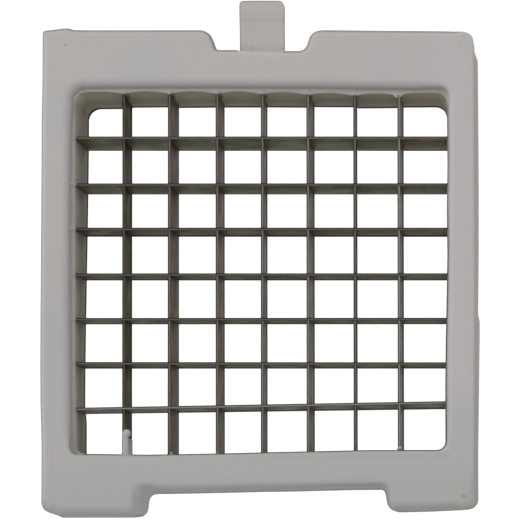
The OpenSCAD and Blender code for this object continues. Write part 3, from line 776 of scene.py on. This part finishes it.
        colour = t.mix(t.math("MULTIPLY", t.spot(centre, r0, r1, squash), amount), colour, tone)
    # painted shadow in the joint beside each upright strip, under the window's top wall
    for i, v in enumerate(VX0[:6]):
        joint_shadow = t.spot((v + 0.5 + 0.02 * i, -2.6, 82.35), 0.14, 0.62, (1, 0.115, 0.62))
        colour = t.mix(t.math("MULTIPLY", joint_shadow, 0.8), colour, (0.062, 0.046, 0.034))
    specks = t.ramp(t.noise(900.0, 1.0, 0.4), ((0.76, 0.0), (0.82, 0.3)))
    colour = t.mix(specks, colour, tuple(c * 0.75 for c in base))
    t.link(colour, t.bsdf.inputs["Base Color"])
    rough = t.remap(t.math("ADD", mid, t.math("MULTIPLY", fine, 0.6)), 0.5, 1.1, 0.46, 0.60)
    rough = t.math("ADD", rough, t.math("MULTIPLY", t.math("MULTIPLY", inside, dirt_and_shading), 0.16))
    t.link(rough, t.bsdf.inputs["Roughness"])
    n = t.bump(fine, 0.22, 0.00005)
    n = t.bump(t.noise(160.0, 2.0, 0.5), 0.25, 0.0001, n)
    t.link(n, t.bsdf.inputs["Normal"])
    t.bsdf.inputs["IOR"].default_value = 1.46
    t.bsdf.inputs["Specular IOR Level"].default_value = 0.38
    return t.m


def steel(name, along, tone, tint, stain, seed, across, rear, front):
    """Dull rolled strip: grain along its length (axis 0 or 2), brown and olive
    stains, a brighter ground edge in front."""
    t = Tree(name)
    stretch = (0.05, 1.0, 1.0) if along == 0 else (1.0, 1.0, 0.05)
    shift = t.add("ShaderNodeVectorMath", operation="ADD")
    t.link(t.co, shift.inputs[0])
    shift.inputs[1].default_value = (0.013 * seed, 0.0, 0.017 * seed)
    t.co = shift.outputs[0]
    grain = t.noise(3800.0, 2.0, 0.6, stretch=stretch)
    cloud = t.noise(130.0, 4.0, 0.6, distort=0.6)
    blot = t.noise(48.0, 3.0, 0.55, distort=0.3)
    base = tuple(c * tone for c in (0.184, 0.160, 0.117))
    light = tuple(c * 1.35 for c in base)
    colour = t.mix(t.ramp(grain, ((0.3, 0.0), (0.7, 1.0))), tuple(c * 0.82 for c in base), light)
    colour = t.mix(t.ramp(cloud, ((0.42, 0.0), (0.68, 0.65 * stain))), colour, (0.105 * tone, 0.098 * tone, 0.066 * tone))
    colour = t.mix(t.ramp(blot, ((0.52, 0.0), (0.66, 0.75 * stain))), colour, (0.125 * tone, 0.080 * tone, 0.055 * tone))
    edge = t.remap(t.axis(1), EDGE0 * MM + 0.00010, EDGE0 * MM + 0.00060, 1.0, 0.0)
    wear_and_shade = t.math("MULTIPLY", edge, t.ramp(t.noise(500.0, 3.0, 0.6), ((0.25, 0.55), (0.6, 1.0))))
    colour = t.mix(wear_and_shade, colour, tuple(c * tone * front for c in (0.235, 0.228, 0.205)))
    # one side of the ground edge is dark, and a band along the rear is painted shade
    place, lean, half, turned = across
    off = t.math("SUBTRACT", t.math("SUBTRACT", t.axis(0 if along else 2), (place + 0.013 * seed * 1000 * (1 if along else 0) + 0.017 * seed * 1000 * (0 if along else 1)) * MM), t.math("MULTIPLY", t.math("SUBTRACT", t.axis(2 if along else 0), (half + (0.017 if along else 0.013) * seed * 1000) * MM), lean))
    dark = t.remap(t.math("MULTIPLY", off, turned), 0.00001, -0.00005)
    dark = t.math("MULTIPLY", dark, t.remap(t.axis(1), EDGE0 * MM + 0.00040, EDGE0 * MM + 0.00020))
    colour = t.mix(t.math("MULTIPLY", dark, 0.9), colour, tuple(c * tone for c in (0.045, 0.043, 0.036)))
    width, depth = rear
    rear_shade_band = t.remap(t.axis(1), (EDGE1 - width * 1.12) * MM, (EDGE1 - width * 0.92) * MM)
    colour = t.mix(rear_shade_band, colour, t.mix(1.0, colour, (depth, depth, depth), "MULTIPLY"))
    t.link(colour, t.bsdf.inputs["Base Color"])
    t.link(t.math("MULTIPLY", t.math("SUBTRACT", 1.0, t.math("MULTIPLY", rear_shade_band, 1.25 * (1.0 - depth), clamp=True)), 0.75), t.bsdf.inputs["Metallic"])
    t.bsdf.inputs["Specular Tint"].default_value = (*tint, 1)
    t.bsdf.inputs["Specular IOR Level"].default_value = 0.25
    rough = t.remap(t.math("ADD", grain, cloud), 0.6, 1.4, 0.42, 0.68)
    rough = t.math("ADD", rough, t.math("MULTIPLY", rear_shade_band, 0.45 * (1.0 - depth)))
    t.link(rough, t.bsdf.inputs["Roughness"])
    n = t.bump(grain, 0.25, 0.00003)
    n = t.bump(cloud, 0.2, 0.00006, n)
    t.link(n, t.bsdf.inputs["Normal"])
    return t.m


# ---------------------------------------------------------------------- pieces
PLASTIC = srgb(183, 180, 178)
mat_frame = plastic("moulded_grey", PLASTIC, 0.0)
# the tongue is the frame's plastic painted about nine per cent lighter, painted light on a piece that stands back in
# the notch
mat_tongue = plastic("tongue_grey", tuple(c * k for c, k in zip(PLASTIC, (1.092, 1.087, 1.098))), 7.0, 0.0, 0.42)

FX = steps((-43.3, -40.2, 0.31), (-40.2, -39.0, 0.4), (-39.0, -34.8, 0.28), (-34.8, 34.8, 0.5), (34.8, 39.0, 0.28), (39.0, 40.4, 0.4), (40.4, 43.3, 0.29))
FY = steps((-9.9, -6.0, 0.26), (-6.0, 7.0, 1.0), (7.0, 9.9, 0.29))
FZ = steps((-1.2, 6.6, 0.3), (6.6, 9.2, 0.43), (9.2, 13.4, 0.28), (13.4, 17.0, 0.36), (17.0, 80.0, 0.6), (80.0, 85.4, 0.27), (85.4, 89.0, 0.45), (89.0, 95.7, 0.29))
verts, quads = surface_net(frame_sdf, FX, FY, FZ)
verts = settle(frame_sdf, verts, 0.25)
lo, hi = np.array(CAD_LO) / MM, np.array(CAD_HI) / MM
verts = np.clip(verts, (lo[0], lo[1], -DROP), (hi[0], hi[1], 95.3))
shell = mesh_object("frame_shell", verts, quads)
thin_out(shell, 0.55)
hold_inside(shell)
shell.data.materials.append(mat_frame)
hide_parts("frame_moulding")
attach(shell, "insert")

verts, quads = surface_net(tongue_sdf, steps((-5.6, 6.3, 0.24)), steps((-6.0, -0.2, 0.2)), steps((87.0, 89.6, 0.4), (89.6, 91.6, 0.2), (91.6, 96.0, 0.35), (96.0, 101.4, 0.2)))
verts = settle(tongue_sdf, verts, 0.15)
verts[:, 2] = np.minimum(verts[:, 2], TZ)
tongue = mesh_object("tongue_spring", verts, quads)
tongue.data.materials.append(mat_tongue)
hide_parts("latch_tongue")

V_TONE = (0.39, 0.63, 0.88, 0.83, 0.98, 0.96, 1.43)
V_TINT = ((0.58, 0.487, 0.329), (0.763, 0.698, 0.578), (0.793, 0.752, 0.68), (0.92, 0.865, 0.837), (0.909, 0.848, 0.818), (0.9, 0.9, 0.828), (1.0, 1.0, 1.0))
H_TINT = ((1.0, 1.0, 0.82), (0.851, 0.825, 0.665), (0.86, 0.79, 0.606), (0.835, 0.762, 0.605), (0.925, 0.862, 0.738), (0.861, 0.861, 0.689), (1.0, 1.0, 1.0))
V_FRONT = (1.35, 1.3, 0.95, 1.1, 1.12, 0.75, 0.85)
H_FRONT = (0.84, 0.7, 0.75, 0.72, 0.68, 0.9, 0.9)
# width and darkness of the painted shade band along each strip's rear
V_REAR = ((4.2, 0.6), (1.5, 1.0), (3.2, 0.64), (4.3, 0.36), (4.0, 0.55), (12.4, 0.5), (7.0, 0.52))
H_REAR = ((1.2, 1.0), (1.4, 0.97), (3.7, 0.33), (4.0, 0.46), (4.4, 0.52), (5.7, 0.64), (5.0, 0.6))
V_STAIN = (1.0, 0.55, 0.5, 0.7, 0.6, 0.7, 0.5)
H_TONE = (0.84, 0.81, 0.705, 0.785, 0.795, 0.73, 1.3)
H_STAIN = (0.9, 0.7, 0.9, 0.8, 0.9, 0.8, 0.6)
strips = []
for i in range(7):
    verts, faces = upright(i)
    o = mesh_object(f"upright_strip_{i + 1}", verts, faces, angle=12)
    o.data.materials.append(steel(f"steel_upright_{i + 1}", 2, V_TONE[i], V_TINT[i], V_STAIN[i], i + 1, (VX0[i], 2 * VTILT[i] / (WZ1 - WZ0), (WZ0 + WZ1) / 2, 1.0), V_REAR[i], V_FRONT[i]))
    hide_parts(f"upright_blade_{i + 1}")
    strips.append(o)
    verts, faces = level(i)
    o = mesh_object(f"level_strip_{i + 1}", verts, faces, angle=12)
    o.data.materials.append(steel(f"steel_level_{i + 1}", 0, H_TONE[i], H_TINT[i], H_STAIN[i], i + 11, (HZ0[i], HTILT[i], 0.0, -1.0), H_REAR[i], H_FRONT[i]))
    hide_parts(f"level_blade_{i + 1}")
    strips.append(o)
for o in strips:
    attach(o, "insert")

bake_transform(tongue)

# ----------------------------------------------------------------------- stage
fm = bpy.data.materials.new("stage_white")
fm.use_nodes = True
ft = fm.node_tree
ft.nodes.clear()
fo, white, soft, fmix, fpath = (ft.nodes.new(k) for k in ("ShaderNodeOutputMaterial", "ShaderNodeEmission", "ShaderNodeEmission", "ShaderNodeMixShader", "ShaderNodeLightPath"))
white.inputs["Strength"].default_value = 1.05
soft.inputs["Strength"].default_value = 0.536
ft.links.new(fpath.outputs["Is Camera Ray"], fmix.inputs[0])
ft.links.new(soft.outputs[0], fmix.inputs[1])
ft.links.new(white.outputs[0], fmix.inputs[2])
ft.links.new(fmix.outputs[0], fo.inputs["Surface"])
me = bpy.data.meshes.new("floor")
me.from_pydata([(-8, -8, 0), (8, -8, 0), (8, 8, 0), (-8, 8, 0)], [], [(0, 1, 2, 3)])
floor = bpy.data.objects.new("floor", me)
floor.location.z = -0.00002
floor.data.materials.append(fm)
bpy.context.scene.collection.objects.link(floor)
floor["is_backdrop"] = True

world = bpy.data.worlds.new("studio")
bpy.context.scene.world = world
world.use_nodes = True
wt = world.node_tree
wt.nodes.clear()
wo = wt.nodes.new("ShaderNodeOutputWorld")
wb, wc, wm, wp = (wt.nodes.new(k) for k in ("ShaderNodeBackground", "ShaderNodeBackground", "ShaderNodeMixShader", "ShaderNodeLightPath"))
wb.inputs[0].default_value = (1.0, 1.0, 1.0, 1)
wb.inputs[1].default_value = 0.791
wc.inputs[0].default_value = (1, 1, 1, 1)
wc.inputs[1].default_value = 1.1
wt.links.new(wp.outputs["Is Camera Ray"], wm.inputs[0])
wt.links.new(wb.outputs[0], wm.inputs[1])
wt.links.new(wc.outputs[0], wm.inputs[2])
wt.links.new(wm.outputs[0], wo.inputs[0])


def softbox(name, place, size, power, colour=(1, 1, 1)):
    d = bpy.data.lights.new(name, "AREA")
    d.shape = "RECTANGLE"
    d.size, d.size_y = size
    d.energy = power
    d.color = colour
    o = bpy.data.objects.new(name, d)
    o.location = place
    o.rotation_euler = (Vector((0, 0, 0.05)) - Vector(place)).to_track_quat("-Z", "Y").to_euler()
    bpy.context.scene.collection.objects.link(o)
    return o


softbox("key", (-1.3, -0.15, 0.4), (0.8, 0.8), 4.85)
softbox("front_left", (-0.95, -0.95, 0.3), (0.8, 0.8), 3.72)
softbox("front_right", (0.85, -1.05, 0.35), (0.8, 0.8), 2.39)
softbox("rear", (-0.75, 0.9, 0.8), (0.8, 0.8), 5.0)

# ---------------------------------------------------------------------- camera
def turn(axis, deg):
    return np.array(Matrix.Rotation(math.radians(deg), 3, axis))


cam_data = bpy.data.cameras.new("camera")
cam = bpy.data.objects.new("camera", cam_data)
bpy.context.scene.collection.objects.link(cam)
R = turn("Z", 3.46) @ turn("Y", 0.09) @ turn("X", 4.22)
right, ahead, up = R[:, 0], R[:, 1], R[:, 2]
m = np.eye(4)
m[:3, 0], m[:3, 1], m[:3, 2] = right, up, -ahead
m[:3, 3] = (0.0354, -0.593, 0.006 + DROP * MM)
cam.matrix_world = Matrix(m.tolist())
cam_data.sensor_width = 36.0
cam_data.lens = 5.809 * 36.0
cam_data.clip_start, cam_data.clip_end = 0.01, 50.0
bpy.context.scene.camera = cam
bpy.context.scene.view_settings.view_transform = "Standard"

new_lo, new_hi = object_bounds()
{"cad": [list(CAD_LO), list(CAD_HI)], "visual": [list(new_lo), list(new_hi)]}
